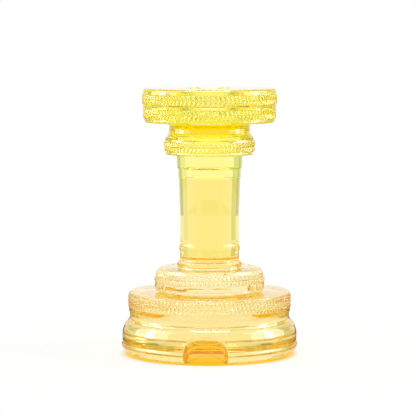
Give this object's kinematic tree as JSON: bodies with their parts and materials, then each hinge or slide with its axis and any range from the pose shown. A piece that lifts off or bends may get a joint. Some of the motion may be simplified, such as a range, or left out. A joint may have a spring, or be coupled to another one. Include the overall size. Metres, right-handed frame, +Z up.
{
  "type": "candlestick",
  "caption": "Short candlestick of solid yellow glass: knurled cup drum with a candle socket, necked knop, round stem and stepped knurled base with an arched notch.",
  "frame": {"origin": "centre of the foot's flat tread, on the surface that the candlestick stands on", "axes": "+Z up along the candlestick's axis, -Y towards the notch in the foot"},
  "size_m": [0.0992, 0.0986, 0.15],
  "materials": {
    "base_glass": "fire-polished clear glass, tinted yellow right through",
    "stem_glass": "fire-polished clear glass, tinted yellow right through",
    "cup_glass": "fire-polished clear glass, tinted yellow right through"
  },
  "bodies": {
    "root": {"foot": "base_glass", "base_drum": "base_glass", "lower_ring": "stem_glass", "stem_collar": "stem_glass", "stem": "stem_glass", "capital": "stem_glass", "upper_knop": "stem_glass", "neck": "cup_glass", "candle_cup": "cup_glass"}
  },
  "joints": []
}
